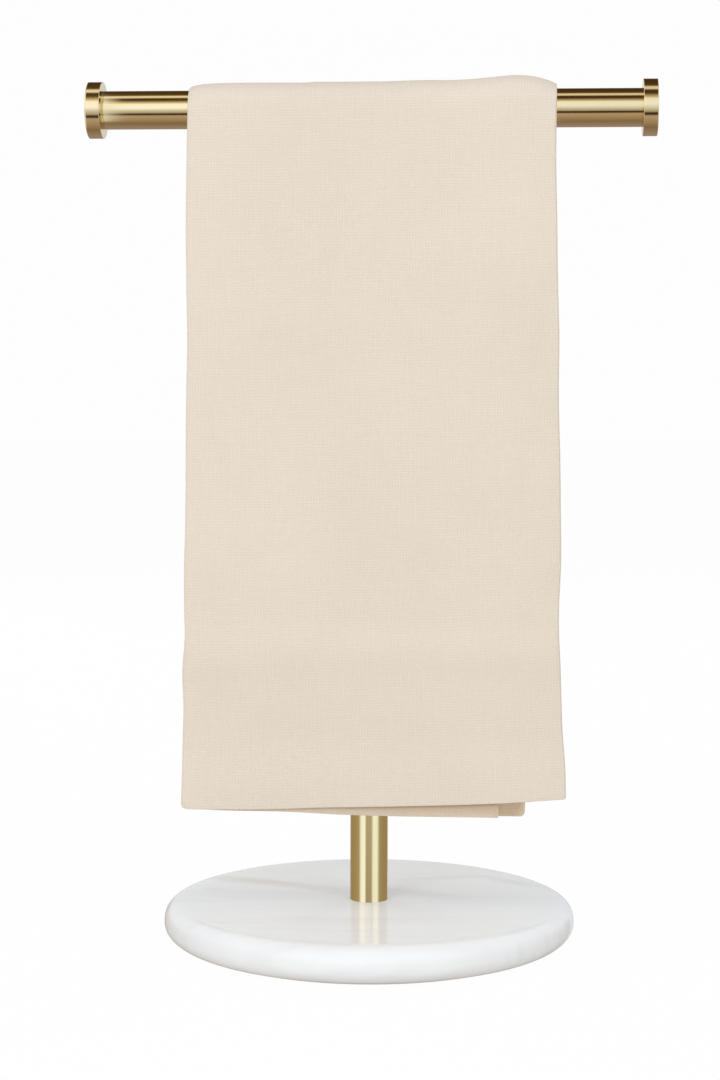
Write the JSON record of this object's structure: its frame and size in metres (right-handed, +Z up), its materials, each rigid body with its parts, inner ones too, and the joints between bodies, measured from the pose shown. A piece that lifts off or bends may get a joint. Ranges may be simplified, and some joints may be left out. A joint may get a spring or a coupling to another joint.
{
  "type": "hand towel on a countertop towel stand",
  "caption": "Cream plain-weave hand towel folded lengthwise and hung over the bar of a T-shaped brass stand with a round marble base.",
  "frame": {"origin": "centre of the underside of the foot pad, on the surface the stand rests on", "axes": "+Z up along the post, +X along the bar, -Y towards the front of the towel"},
  "size_m": [0.282, 0.207, 0.433],
  "materials": {
    "cloth": "matt plain weave",
    "brass": "satin, finely brushed",
    "marble": "polished",
    "pad": "matt"
  },
  "bodies": {
    "root": {"towel": "cloth", "bar": "brass", "end_cap_left": "brass", "end_cap_right": "brass", "post": "brass", "marble_base": "marble", "foot_pad": "pad"}
  },
  "joints": []
}
